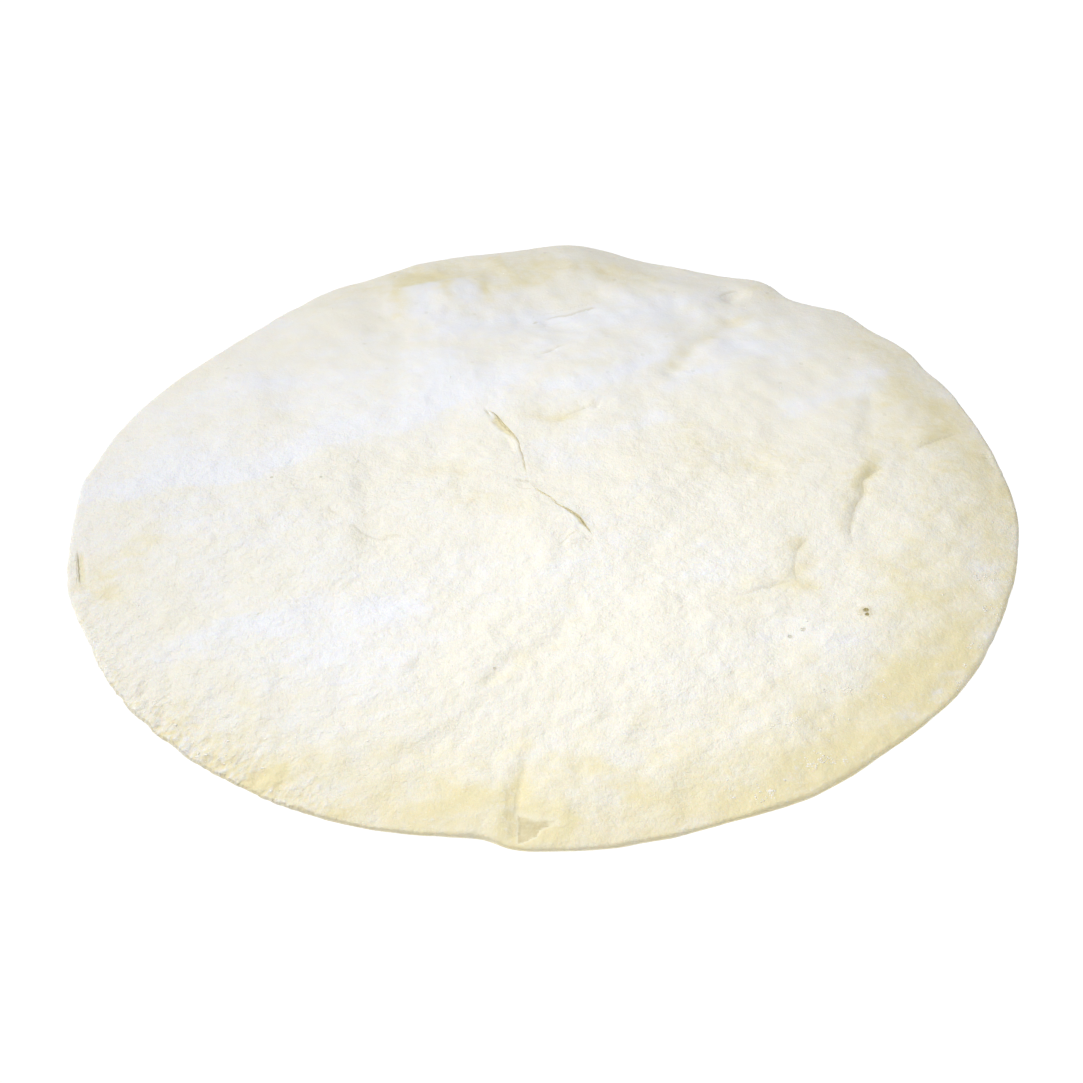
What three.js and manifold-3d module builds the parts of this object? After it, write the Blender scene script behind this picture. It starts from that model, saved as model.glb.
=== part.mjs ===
// A pizza base: one hand-stretched round of raw dough, lying flat.
// Millimetres, +Z up. The origin is the middle of the underside, and -Y is the near edge.

import * as THREE from "three";
import Module from "manifold-3d";

// Driving sizes of the round.
const RADIUS = 150; // a 30 cm base
const MIDDLE_THICKNESS = 6.4;
const RIM_THICKNESS = 3.5; // just inside the rounded edge, at the two sides
const RIM_TILT = 0.6; // the rim is this much thicker at the back and thinner at the front
const EDGE_ROUND = 3; // how far in from the edge the top rounds over
const EDGE_HEIGHT = 1.1; // height of the edge's widest line
const EDGE_TUCK = 1.4; // how far the edge turns in underneath
const LEAST_THICKNESS = 1.4; // at the bottom of the deepest crease
const THINNING = 3; // power of the thinning: the dough stays thick until near the rim
const WAVE_FADE = 0.5; // share of a stretch wave that is gone at the rim
const DOUGH_COLOUR = 0xf0ead6;

// Facets.
const SPOKES = 132;
const RINGS = 38;
const EDGE_CROWDING = 1.5; // above 1 the rings lie closer together near the edge
const TUCK_STEPS = 2;
const TEAR_STEPS = 14;

// Angles and places below are measured from the middle of the circle that the outline follows.

// The outline is that circle with swells and hollows: at an angle in degrees from +X, so many
// millimetres out, fading over the degrees before it and after it.
const OUTLINE_SWELLS = [
  { name: "right back notch", at: 30, out: -1.3, before: 3, after: 2.5 },
  { name: "right back swell", at: 35, out: 3, before: 13, after: 7 },
  { name: "right back bulge", at: 46, out: 3.3, before: 4, after: 3 },
  { name: "right back nick", at: 53.5, out: -1.4, before: 2.5, after: 2.5 },
  { name: "right back shoulder", at: 58.5, out: 2.4, before: 3, after: 4 },
  { name: "right back hollow", at: 70, out: -1.1, before: 6, after: 7 },
  { name: "back flat", at: 78, out: -1.9, before: 40, after: 40 },
  { name: "back crest", at: 86, out: 6.2, before: 6.2, after: 8 },
  { name: "back shoulder", at: 105, out: 1.4, before: 8, after: 6 },
  { name: "left back nick", at: 115, out: -1.4, before: 4, after: 3.5 },
  { name: "left back corner", at: 124.5, out: 0.8, before: 3, after: 3 },
  { name: "left back flat", at: 140, out: -7.6, before: 20, after: 21 },
  { name: "left shoulder", at: 175, out: 1.4, before: 2.5, after: 5 },
  { name: "left bulge", at: 195, out: 1.2, before: 5, after: 3.5 },
  { name: "left nick", at: 205, out: -1.1, before: 3, after: 4 },
  { name: "left front swell", at: 216, out: 3.7, before: 29, after: 32 },
  { name: "pleat hollow", at: 262.5, out: -3.8, before: 10, after: 2.8 },
  { name: "front flat", at: 290, out: -2, before: 9, after: 8 },
  { name: "right front flat", at: 311, out: -2.2, before: 8, after: 11 },
  { name: "right flat", at: 338, out: -1.4, before: 14, after: 13 },
  { name: "right corner", at: 357.5, out: 0.8, before: 4, after: 5 },
];

// Broad waves left by stretching: crest to crest length, heading in degrees and height.
const STRETCH_WAVES = [
  { length: 118, heading: 24, height: 0.45, phase: 0.6 },
  { length: 74, heading: 96, height: 0.4, phase: 2.1 },
  { length: 47, heading: 148, height: 0.25, phase: 4.0 },
];

// Soft lumps and dimples: middle, height and radius.
const LUMPS = [
  { name: "back crest", x: 8, y: 140, height: 2.4, radius: 20 },
  { name: "back left pillow", x: -44, y: 111, height: 1.5, radius: 11 },
  { name: "back pillow", x: -32, y: 118, height: 1.3, radius: 10 },
  { name: "far left pillow", x: -71, y: 108, height: 1.1, radius: 12 },
  { name: "right back shoulder", x: 72, y: 124, height: 1.6, radius: 10 },
  { name: "right back dimple", x: 67, y: 118, height: -1, radius: 5 },
  { name: "back hollow", x: 0, y: 104, height: -1.3, radius: 17 },
  { name: "torn flap", x: -6, y: -13, height: 0.9, radius: 13 },
  { name: "left of tear", x: -36, y: 19, height: -0.8, radius: 11 },
  { name: "pleat swell", x: 4, y: -138, height: 1, radius: 14 },
];

// Creases: a path, how deep and wide its valley is, how much higher the dough stands on the
// path's left than on its right, and the length over which each end fades out.
const CREASES = [
  {
    name: "right step, upper",
    path: [[109, 17], [102, 9], [97, -6], [94, -18]],
    depth: 1.3, width: 4, step: -1.5, fades: [9, 9],
  },
  {
    name: "right step, middle",
    path: [[86, -13], [79, -23], [76, -34], [77, -44]],
    depth: 1.1, width: 4, step: -1.3, fades: [9, 8],
  },
  {
    name: "right step, lower",
    path: [[71, -39], [64, -47], [53, -57]],
    depth: 0.9, width: 4, step: -1, fades: [7, 9],
  },
  {
    name: "front hook",
    path: [[-20, -96], [-16, -85], [-2, -71], [11, -56]],
    depth: 0.5, width: 4.5, step: 0.4, fades: [5, 20],
  },
  {
    name: "front pleat",
    path: [[-9, -154], [-9, -143], [-7, -128], [-5, -111]],
    depth: 0.8, width: 3.5, step: 0.6, fades: [0, 26],
  },
  {
    name: "right of the pleat",
    path: [[38, -116], [38, -128], [36, -143]],
    depth: 0.4, width: 3.5, step: -1.1, fades: [9, 4],
  },
  {
    name: "right back valley",
    path: [[38, 62], [46, 77], [58, 92], [73, 105]],
    depth: 0.9, width: 4.5, step: 0.4, fades: [10, 10],
  },
  {
    name: "shelf above the tear",
    path: [[-12, 48], [2, 43], [17, 50]],
    depth: 1.1, width: 4, step: -0.8, fades: [5, 6],
  },
  {
    name: "left fold",
    path: [[-73, -5], [-60, -14], [-46, -24]],
    depth: 0.5, width: 4, step: 0.4, fades: [7, 7],
  },
  {
    name: "left valley",
    path: [[-64, 32], [-60, 8], [-57, -20], [-60, -48]],
    depth: 0.4, width: 4, step: -1.3, fades: [14, 14],
  },
  {
    name: "right back groove",
    path: [[108, 61], [108, 45], [102, 23]],
    depth: 0.6, width: 4, step: -0.4, fades: [8, 8],
  },
  {
    name: "far right groove",
    path: [[119, 20], [129, 29], [139, 34]],
    depth: 1.2, width: 4, step: 0.3, fades: [7, 5],
  },
];

// Tears: slits of V section along a path, widest and deepest in the middle.
const TEARS = [
  { name: "upper tear", path: [[-20, 47], [-15, 39], [-9, 28], [-7, 11]], opening: 2.6, depth: 3 },
  { name: "lower tear", path: [[-5, 5], [2, -3], [10, -13], [14, -21]], opening: 1.8, depth: 2.8 },
  { name: "rim split", path: [[-147, -23], [-146, -29], [-145, -36], [-143, -43]], opening: 1.6, depth: 1.6 },
];
const TEAR_END_SHARE = 0.12; // opening left at a tear's two ends
const BLADE_CLEARANCE = 4; // how far the cutting wedge stands above the dough

const degrees = THREE.MathUtils.degToRad;

function flatCurve(path) {
  return new THREE.CatmullRomCurve3(path.map(([x, y]) => new THREE.Vector3(x, y, 0)));
}

// Radius of the outline at an angle in radians.
function outlineRadius(angle) {
  const turn = THREE.MathUtils.radToDeg(angle);
  return OUTLINE_SWELLS.reduce((radius, { at, out, before, after }) => {
    const away = THREE.MathUtils.euclideanModulo(turn - at + 180, 360) - 180;
    const fade = away < 0 ? before : after;
    return radius + out * Math.exp(-((away / fade) ** 2));
  }, RADIUS);
}

// A crease becomes a chain of short straight pieces, from which distances are measured.
const CREASE_PIECES = 16;
const creaseLines = CREASES.map((crease) => {
  const curve = flatCurve(crease.path);
  return { ...crease, points: curve.getPoints(CREASE_PIECES), length: curve.getLength() };
});

// Nearest place on a crease: how far along it, and how far to its left (negative is right).
function nearestOn({ points, length }, x, y) {
  let best = { gap: Infinity, along: 0, left: 0 };
  const pieceLength = length / CREASE_PIECES;
  for (let i = 0; i < CREASE_PIECES; i++) {
    const dx = points[i + 1].x - points[i].x;
    const dy = points[i + 1].y - points[i].y;
    const share = ((x - points[i].x) * dx + (y - points[i].y) * dy) / (dx * dx + dy * dy);
    const held = THREE.MathUtils.clamp(share, 0, 1);
    const ex = x - points[i].x - held * dx;
    const ey = y - points[i].y - held * dy;
    const gap = Math.hypot(ex, ey);
    if (gap < best.gap) {
      best = { gap, along: (i + held) * pieceLength, left: Math.sign(dx * ey - dy * ex) * gap };
    }
  }
  return best;
}

// Height that one crease adds at a place: a valley along its path, with a soft step across it.
const STEP_REACH = 4; // a step dies away over this many valley widths
function creaseHeight(crease, x, y) {
  const { gap, along, left } = nearestOn(crease, x, y);
  const [startFade, endFade] = crease.fades;
  const start = startFade ? THREE.MathUtils.smoothstep(along, 0, startFade) : 1;
  const end = THREE.MathUtils.smoothstep(crease.length - along, 0, endFade);
  const across = gap / crease.width;
  const valley = -crease.depth * Math.exp(-across * across);
  const side = 0.5 * crease.step * Math.tanh(left / crease.width) * Math.exp(-across / STEP_REACH);
  return start * end * (valley + side);
}

// Thickness of the dough away from its edge.
function thickness(x, y) {
  const out = Math.min(Math.hypot(x, y) / RADIUS, 1);
  const rim = RIM_THICKNESS + (RIM_TILT * y) / RADIUS;
  let height = MIDDLE_THICKNESS - (MIDDLE_THICKNESS - rim) * out ** THINNING;
  for (const { length, heading, height: crest, phase } of STRETCH_WAVES) {
    const along = x * Math.cos(degrees(heading)) + y * Math.sin(degrees(heading));
    height += crest * (1 - WAVE_FADE * out * out) * Math.sin((2 * Math.PI * along) / length + phase);
  }
  for (const lump of LUMPS) {
    const away = Math.hypot(x - lump.x, y - lump.y) / lump.radius;
    height += lump.height * Math.exp(-away * away);
  }
  for (const crease of creaseLines) height += creaseHeight(crease, x, y);
  return Math.max(height, LEAST_THICKNESS);
}

// Height of the top at a place: the thickness, rounded over towards the edge.
function topHeight(x, y) {
  const inward = Math.max(outlineRadius(Math.atan2(y, x)) - Math.hypot(x, y), 0);
  const share = 1 - Math.min(inward / EDGE_ROUND, 1);
  return EDGE_HEIGHT + (thickness(x, y) - EDGE_HEIGHT) * Math.sqrt(1 - share * share);
}

// Closed round: rings of the top from the middle to the edge, the tuck under, and a flat underside.
function doughGeometry() {
  const positions = [0, 0, topHeight(0, 0)];
  for (let ring = 1; ring <= RINGS; ring++) {
    const reach = 1 - (1 - ring / RINGS) ** EDGE_CROWDING;
    for (let spoke = 0; spoke < SPOKES; spoke++) {
      const angle = (2 * Math.PI * spoke) / SPOKES;
      const radius = reach * outlineRadius(angle);
      const x = radius * Math.cos(angle);
      const y = radius * Math.sin(angle);
      positions.push(x, y, topHeight(x, y));
    }
  }
  for (let step = 1; step <= TUCK_STEPS; step++) {
    const turn = (0.5 * Math.PI * step) / TUCK_STEPS;
    for (let spoke = 0; spoke < SPOKES; spoke++) {
      const angle = (2 * Math.PI * spoke) / SPOKES;
      const radius = outlineRadius(angle) - EDGE_TUCK * (1 - Math.cos(turn));
      const z = EDGE_HEIGHT * (1 - Math.sin(turn));
      positions.push(radius * Math.cos(angle), radius * Math.sin(angle), z);
    }
  }
  positions.push(0, 0, 0);

  const index = [];
  const bands = RINGS + TUCK_STEPS;
  const at = (ring, spoke) => 1 + (ring - 1) * SPOKES + (spoke % SPOKES);
  const underside = positions.length / 3 - 1;
  for (let spoke = 0; spoke < SPOKES; spoke++) {
    index.push(0, at(1, spoke), at(1, spoke + 1));
    for (let ring = 1; ring < bands; ring++) {
      index.push(at(ring, spoke), at(ring + 1, spoke), at(ring + 1, spoke + 1));
      index.push(at(ring, spoke), at(ring + 1, spoke + 1), at(ring, spoke + 1));
    }
    index.push(at(bands, spoke), underside, at(bands, spoke + 1));
  }
  return closedGeometry(positions, index);
}

function closedGeometry(positions, index) {
  const geometry = new THREE.BufferGeometry();
  geometry.setAttribute("position", new THREE.Float32BufferAttribute(positions, 3));
  geometry.setIndex(index);
  return geometry;
}

// Wedge that opens a tear: a V section carried along the path, point down.
function tearGeometry({ path, opening, depth }) {
  const curve = flatCurve(path);
  const positions = [];
  for (let step = 0; step <= TEAR_STEPS; step++) {
    const share = step / TEAR_STEPS;
    const swell = TEAR_END_SHARE + (1 - TEAR_END_SHARE) * Math.sin(Math.PI * share);
    const point = curve.getPointAt(share);
    const along = curve.getTangentAt(share);
    const surface = topHeight(point.x, point.y);
    const deep = depth * swell;
    const half = (0.5 * opening * swell * (deep + BLADE_CLEARANCE)) / deep;
    positions.push(point.x - along.y * half, point.y + along.x * half, surface + BLADE_CLEARANCE);
    positions.push(point.x, point.y, surface - deep);
    positions.push(point.x + along.y * half, point.y - along.x * half, surface + BLADE_CLEARANCE);
  }
  const corners = 3;
  const index = [0, 1, 2];
  for (let step = 0; step < TEAR_STEPS; step++) {
    for (let corner = 0; corner < corners; corner++) {
      const a = step * corners + corner;
      const b = step * corners + ((corner + 1) % corners);
      index.push(a, a + corners, b, b, a + corners, b + corners);
    }
  }
  const last = TEAR_STEPS * corners;
  index.push(last, last + 2, last + 1);
  return closedGeometry(positions, index);
}

const wasm = await Module();
wasm.setup();

function solidOf(geometry) {
  return new wasm.Manifold(
    new wasm.Mesh({
      numProp: 3,
      vertProperties: new Float32Array(geometry.attributes.position.array),
      triVerts: new Uint32Array(geometry.index.array),
    }),
  );
}

function geometryOf(solid) {
  const { vertProperties, triVerts } = solid.getMesh();
  const geometry = closedGeometry(Array.from(vertProperties), Array.from(triVerts));
  geometry.computeVertexNormals();
  return geometry;
}

// The round with its tears cut, shifted so that its box is centred on the origin.
function doughDisc() {
  const solid = TEARS.reduce(
    (dough, tear) => dough.subtract(solidOf(tearGeometry(tear))),
    solidOf(doughGeometry()),
  );
  const geometry = geometryOf(solid);
  geometry.computeBoundingBox();
  const middle = geometry.boundingBox.getCenter(new THREE.Vector3());
  const material = new THREE.MeshStandardMaterial({ color: DOUGH_COLOUR, roughness: 0.85, metalness: 0 });
  const mesh = new THREE.Mesh(geometry, material);
  mesh.name = "dough_disc";
  mesh.position.set(-middle.x, -middle.y, 0);
  return mesh;
}

const pizzaBase = new THREE.Group();
pizzaBase.add(doughDisc());

export default pizzaBase;
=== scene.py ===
"""A pizza base: one hand-stretched round of raw dough, dusted with flour, on a pale floor.

Places and sizes are millimetres from the middle of the circle that the outline follows, as in the solid,
and become metres when a mesh is made. +X is right, +Y is away from the camera and +Z is up.
"""

import math

import bpy
import numpy as np
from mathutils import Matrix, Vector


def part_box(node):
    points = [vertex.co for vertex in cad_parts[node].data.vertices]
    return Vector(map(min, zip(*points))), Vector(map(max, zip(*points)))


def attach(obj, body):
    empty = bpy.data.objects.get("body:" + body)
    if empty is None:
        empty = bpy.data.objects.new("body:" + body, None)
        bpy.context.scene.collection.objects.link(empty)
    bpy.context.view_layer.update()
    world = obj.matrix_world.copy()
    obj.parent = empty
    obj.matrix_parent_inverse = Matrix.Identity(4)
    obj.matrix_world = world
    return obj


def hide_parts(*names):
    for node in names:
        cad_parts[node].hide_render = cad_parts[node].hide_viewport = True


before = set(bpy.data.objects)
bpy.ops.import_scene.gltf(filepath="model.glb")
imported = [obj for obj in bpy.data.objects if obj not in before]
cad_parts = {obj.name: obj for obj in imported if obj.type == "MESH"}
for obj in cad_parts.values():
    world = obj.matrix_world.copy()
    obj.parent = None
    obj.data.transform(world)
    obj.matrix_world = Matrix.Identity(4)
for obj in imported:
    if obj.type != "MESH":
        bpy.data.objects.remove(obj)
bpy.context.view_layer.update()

MM = 0.001

# Form of the round, with the solid's own sizes. Finer than in the solid are the edge, which thins out over
# EDGE_TAPER to the share EDGE_THIN and rounds over only at the last, and the shelf, which starts softly.
RADIUS = 150.0
MIDDLE_THICKNESS = 6.4
RIM_THICKNESS = 3.5
RIM_TILT = 0.6
EDGE_TAPER = 26.0
EDGE_THIN = 0.45
EDGE_ROUND = 1.4
EDGE_HEIGHT = 1.1
EDGE_TUCK = 1.4
LEAST_THICKNESS = 1.4
THINNING = 3
WAVE_FADE = 0.5
STEP_REACH = 4.0

# Swells of the outline: angle in degrees, millimetres out, and the degrees it fades over before and after.
SWELLS = {
    "right back notch": (30, -1.3, 3, 2.5),
    "right back swell": (35, 3.0, 13, 7),
    "right back bulge": (46, 3.3, 4, 3),
    "right back nick": (53.5, -1.4, 2.5, 2.5),
    "right back shoulder": (58.5, 2.4, 3, 4),
    "right back hollow": (70, -1.1, 6, 7),
    "back flat": (78, -1.9, 40, 40),
    "back crest": (86, 6.2, 6.2, 8),
    "back shoulder": (105, 1.4, 8, 6),
    "left back nick": (115, -1.4, 4, 3.5),
    "left back corner": (124.5, 0.8, 3, 3),
    "left back flat": (140, -7.6, 20, 21),
    "left shoulder": (175, 1.4, 2.5, 5),
    "left bulge": (195, 1.2, 5, 3.5),
    "left nick": (205, -1.1, 3, 4),
    "left front swell": (216, 3.7, 29, 32),
    "pleat hollow": (262.5, -3.8, 10, 2.8),
    "front flat": (290, -2.0, 9, 8),
    "right front flat": (311, -2.2, 8, 11),
    "right flat": (338, -1.4, 14, 13),
    "right corner": (357.5, 0.8, 4, 5),
}

# Waves left by stretching: length, heading in degrees, height and phase.
STRETCH_WAVES = ((118, 24, 0.45, 0.6), (74, 96, 0.4, 2.1), (47, 148, 0.25, 4.0))

# Soft lumps and dimples: middle, height and radius.
LUMPS = {
    "back crest": (8, 140, 2.4, 20),
    "back left pillow": (-44, 111, 1.5, 11),
    "back pillow": (-32, 118, 1.3, 10),
    "far left pillow": (-71, 108, 1.1, 12),
    "right back shoulder": (72, 124, 1.6, 10),
    "right back dimple": (67, 118, -1.0, 5),
    "back hollow": (0, 104, -1.3, 17),
    "torn flap": (-6, -13, 0.9, 13),
    "left of tear": (-36, 19, -0.8, 11),
    "pleat swell": (4, -138, 1.0, 14),
}

# Creases: path, valley depth and width, rise of the path's left over its right, and the end fades.
CREASES = {
    "front hook": (((-20, -96), (-16, -85), (-2, -71), (11, -56)), 0.5, 4.5, 0.4, (5, 20)),
    "front pleat": (((-9, -154), (-9, -143), (-7, -128), (-5, -111)), 0.8, 3.5, 0.6, (0, 26)),
    "right back valley": (((38, 62), (46, 77), (58, 92), (73, 105)), 0.9, 4.5, 0.4, (10, 10)),
    "shelf above the tear": (((-12, 48), (2, 43), (17, 50)), 0.9, 4, -0.5, (16, 6)),
    "left fold": (((-73, -5), (-60, -14), (-46, -24)), 0.5, 4, 0.4, (7, 7)),
    "right back groove": (((108, 61), (108, 45), (102, 23)), 0.6, 4, -0.4, (8, 8)),
    "left valley": (((-64, 32), (-60, 8), (-57, -20), (-60, -48)), 0.4, 4, -1.3, (14, 14)),
    "right of the pleat": (((38, -116), (38, -128), (36, -143)), 0.4, 3.5, -1.1, (9, 4)),
}

# Steps, crisper than in the solid: the dough rolls down from the path's right to a foot on the path.
# Path, rise, width and end fades.
STEPS = {
    "right step, upper": (((110, 17), (104.5, 12), (101.3, 2), (97.8, -7.5), (96, -16.5), (95.5, -27)),
                          1.7, 4.6, (4, 12)),
    "right step, middle": (((84, -19), (78.7, -25), (76.5, -34), (77, -44)), 0.9, 3.6, (8, 8)),
    "right step, lower": (((75.5, -41.5), (70.5, -43), (63, -47), (56, -49.5)), 0.95, 3.0, (3, 8)),
    "far right step": (((138, 36.5), (132, 33.5), (127, 30.5), (120, 24)), 1.2, 3.2, (5, 7)),
}
STEP_RUN = 12.0
FOOT_DEPTH = 0.2
FOOT_WIDTH = 1.4

# Fine cracks, folds and slits too small for the solid: path, depth, width, rise of the left, end fades.
CRACKS = {
    "left crack": (((-71, -5), (-66.5, -8.7), (-61.6, -14), (-57.5, -18.5), (-49, -22)),
                   0.15, 1.0, 0.1, (5, 6)),
    "elbow crack": (((-9.2, 8.9), (-7.6, 7.7), (-5.8, 7)), 0.8, 0.5, 0.3, (2, 0)),
    "curl fold": (((-15, 31), (-12, 30), (-10.5, 26), (-10, 21)), 0.6, 1.1, 0.9, (2, 5)),
    "tear stub": (((-20.3, 46.5), (-18.6, 41.8)), 0.5, 0.7, 0.3, (1.5, 1.5)),
    "branch fold": (((12, -18), (9.3, -19.2), (6.2, -23.4), (3.5, -27.6)), 0.4, 0.9, 0.8, (2, 4)),
    "shelf lip": (((2, 40), (10, 44), (15, 47), (18, 52)), 0.5, 1.1, 0.6, (4, 3)),
    "back slit": (((-3, 100), (7, 103), (17, 107)), 0.7, 1.2, 0.5, (4, 4)),
    "back slit, near": (((-4, 75), (0, 78), (5, 82)), 0.6, 1.2, -0.4, (3, 3)),
    "right back nick": (((63, 114), (68, 118.5), (71.5, 122)), 1.0, 2.2, 0.2, (4, 3)),
    "right rim crease": (((139, 25), (146, 26)), 0.6, 1.3, 0.2, (3, 2)),
    "hook line": (((-18.5, -90), (-16.5, -86), (-13.5, -82)), 0.4, 2.0, 0.3, (3, 4)),
    "left front hollow": (((-84, -125), (-78, -121)), 1.3, 2.2, 0.0, (3, 3)),
    "pleat fold": (((-9.5, -148), (-9, -138), (-7.5, -125), (-7, -113)), 0.6, 2.8, 0.2, (2, 12)),
}

# Hair lines, thinner than the mesh can hold, darkened partly as bared raw dough and partly with painted shade
# in cracks, slits and folds: path, darkness and end fades. They are softer to their right.
LINES = {
    "elbow": (((-9.2, 8.9), (-7.6, 7.7), (-5.8, 7)), 0.45, (1, 0)),
    "left crack, start": (((-71.3, -5.1), (-66.5, -8.7)), 0.3, (2, 1.5)),
    "left crack": (((-61.6, -14.2), (-57.5, -18.5), (-52.7, -21.2), (-48.9, -22.2)), 0.28, (2, 3)),
    "left crack, beside": (((-52, -20), (-47.5, -20.6), (-45.7, -20.2)), 0.22, (1.5, 1.5)),
    "branch fold": (((3.5, -27.6), (6.2, -23.4), (9.3, -19.2)), 0.35, (3, 1)),
    "back slit": (((17.3, 108.7), (8.2, 105.6), (4, 104.3), (-1, 102.5)), 0.38, (2, 4)),
    "back slit, end": (((-2.5, 101.5), (-4.5, 100.6)), 0.5, (0.6, 0.6)),
    "back slit, near": (((6.8, 84.5), (2.5, 80.7), (-2.3, 78.1)), 0.25, (3, 2)),
    "right back nick": (((68, 121.5), (63.6, 118.4), (62, 116.6)), 0.3, (2, 1)),
    "hook": (((-18.6, -88.2), (-17.2, -84.9), (-14, -80.6)), 0.06, (1, 4)),
    "shelf lip": (((16.6, 52.6), (14.6, 49.2), (10.5, 46.3), (4.4, 42.4)), 0.2, (1.5, 5)),
    "tear stub": (((-20.3, 46.5), (-18.6, 41.8)), 0.5, (1.5, 1.5)),
    "right rim": (((147, 24), (141, 25)), 0.35, (1, 3)),
    "pleat": (((-9.2, -140), (-8.6, -134), (-7.8, -125), (-7.2, -114)), 0.17, (2, 10)),
}
# Darkness of the painted shade at the steps' feet.
STEP_FOOT_SHADE = 0.25
# Darkness of the painted contact shadow along the edge, and how thin it is.
EDGE_SHADOW_LINE = 0.48
EDGE_LINE_THIN = 0.8
LINE_REACH = 4.0

# Tears run outwards from the elbow between them. On one side, the path's left (1) or right (-1), the dough
# slopes down, and runs on into a cavity under the lip that hangs over from the other side. Strip is the
# width of dough that makes the cavity's floor and wall, raw how raw the slope looks, widest the share of the
# length where the tear is widest, and least how open the rest of it is. The cavity's floor is painted with
# shade. Line, thin and fades draw the hair line of painted shade at the bottom: its darkness, how many times
# thinner it is than other lines, and its end fades.
ELBOW = np.array((-6.0, 8.0))
TEARS = {
    "upper tear": {
        "path": ((-6.5, 11), (-7.6, 19), (-9.3, 28), (-13.4, 36.7), (-17, 43), (-20, 47)), "side": 1,
        "depth": 1.2, "slope": 3.8, "strip": 0.5, "cavity": 0.45, "overhang": 0.5, "lip": 0.4,
        "raw": 1.0, "widest": 0.8, "least": 0.25, "line": 0.7, "thin": 2.4, "fades": (4, 4),
    },
    "lower tear": {
        "path": ((-5, 5.6), (-2.8, 2.5), (1.4, -1.9), (4.9, -6.8), (9.7, -12), (12, -16), (14.2, -20.9)),
        "side": -1,
        "depth": 1.0, "slope": 1.7, "strip": 0.32, "cavity": 0.3, "overhang": 0.35, "lip": 0.3,
        "raw": 0.9, "widest": 0.8, "least": 0.4, "line": 0.88, "thin": 2.6, "fades": (24, 2),
    },
}
TEAR_WAVER = 0.3
WAVER_SIZE = 3.4
LIP_REACH = 1.2
LEAN_REACH = 1.6

# Shares of a tear: of its length, over which each end opens; of its strip, where the cavity's floor and wall
# begin and end, and where its painted shade ends; and of its slope, where the raw dough ends.
TEAR_ENDS = (0.10, 0.06)
CAVITY_FLOOR = (0, 0.5)
CAVITY_WALL = (0.45, 1.0)
CAVITY_SHADE_END = (0.8, 1.0)
BARED_END = (0.35, 1.05)

# The split at the left rim: path, end fades, the darkness and thinness of its hair line of painted shade, and
# its raw trough.
RIM_SPLIT = ((-147.6, -21.6), (-146.2, -28), (-145, -34), (-143.6, -40.5))
SPLIT_FADES = (6, 4)
SPLIT_SHADE_LINE = 0.9
SPLIT_THIN = 2.0
SPLIT_WIDTH = 0.9
SPLIT_DEPTH = 0.6
SPLIT_LEAST_HEIGHT = 0.6
SPLIT_RAW = 1.1

# The pleat's pocket is a three-cornered floor that sinks from its far edge to its two walls. A slope is the
# distances from a side between which the floor sinks.
POCKET_LEFT_WALL = ((-9.6, -150), (-9.4, -143), (-9.6, -134))
POCKET_NEAR_WALL = ((-10, -148.5), (-3, -146), (7, -141))
POCKET_FAR_EDGE = ((-12.5, -134), (-3, -136.5), (8, -139.5))
LEFT_WALL_SLOPE = (-0.6, 2.0)
NEAR_WALL_SLOPE = (-0.5, 1.4)
FAR_EDGE_SLOPE = (-1, 8)
POCKET_DEPTH = 0.7
# How raw and wet the pocket's floor looks, partly painted shade.
POCKET_RAW_AND_SHADE = 1.65
POCKET_RAGS = 0.8
POCKET_RAG_SIZE = 3.6

# Headings that the rubbed flour, the stretch marks and the flakes of the rim run at.
RUB_HEADING = 15
STREAK_HEADING = 52
FLAKE_HEADING = 57

# Flakes of the rim: where they begin and end as angles in degrees, their least strength elsewhere, how far
# they reach in, their height and lift, and their size across and along.
FLAKES_BEGIN = (182, 212)
FLAKES_END = (236, 252)
FLAKES_LEAST = 0.12
FLAKE_REACH = 10
FLAKE_HEIGHT = 1.4
FLAKE_LIFT = 0.3
FLAKE_ACROSS = 2.4
FLAKE_ALONG = 3.4

# Unevenness, as a height and a size: of the outline and its rags, of the swells and bumps of the top, of its
# stretch marks, of the drawn paths, of the edges of strokes, and of the underside.
RIM_WAVER = 0.2
RIM_WAVER_SIZE = 9
RIM_RAGS = 0.35
RIM_RAG_SIZE = 2.4
SWELL_HEIGHT = 0.5
SWELL_SIZE = 17
BUMP_HEIGHT = 0.26
BUMP_SIZE = 4.6
BUMP_LOST = 0.14
STREAK_HEIGHT = 0.18
STREAK_ACROSS = 4.0
STREAK_ALONG = 10
CROOKED = 0.9
CROOKED_SIZE = 8
WANDER = 2.5
WANDER_SIZE = 12
UNDER_HEIGHT = 0.12
UNDER_SIZE = 30
UNDER_FLAT = 12

# Grid of the mesh: spokes, and rings on the top, in the band along the edge, on the tuck and underneath.
SPOKES = 690
RINGS = 112
EDGE_BAND = 7.0
EDGE_RINGS = 14
TUCK_RINGS = 5
UNDER_RINGS = 9

# Rings lie closer together by a share at the tears, dying away over a share of the reach, and further out.
TEAR_CLOSER = 0.45
TEAR_CLOSER_REACH = 0.25
OUTER_CLOSER = 0.3
OUTER_BEGIN = 0.8

# Spokes lie closer together towards these: heading and spread in radians, and how many more there are.
SPOKE_CROWDS = {"flaky rim": (-2.39, 0.40, 0.8), "pleat": (-1.61, 0.10, 2.5)}
TEAR_CROWD = 2.5
TEAR_CROWD_SPREAD = 0.12

# Spokes bend along a tear: the point of its curve that sets their heading, how many times the tear's length
# the bend takes to die away, and its spread in radians.
TEAR_AIM = -8
BEND_REACH = 2.2
BEND_SPREAD = 0.45


def bell(away):
    """One at nought, falling away as exp of minus the square."""
    return np.exp(-np.square(away))


def smooth(low, high, value):
    """Smooth step: nought below low, one above high, a cubic between them."""
    share = np.clip((value - low) / (high - low), 0, 1)
    return share * share * (3 - 2 * share)


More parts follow.
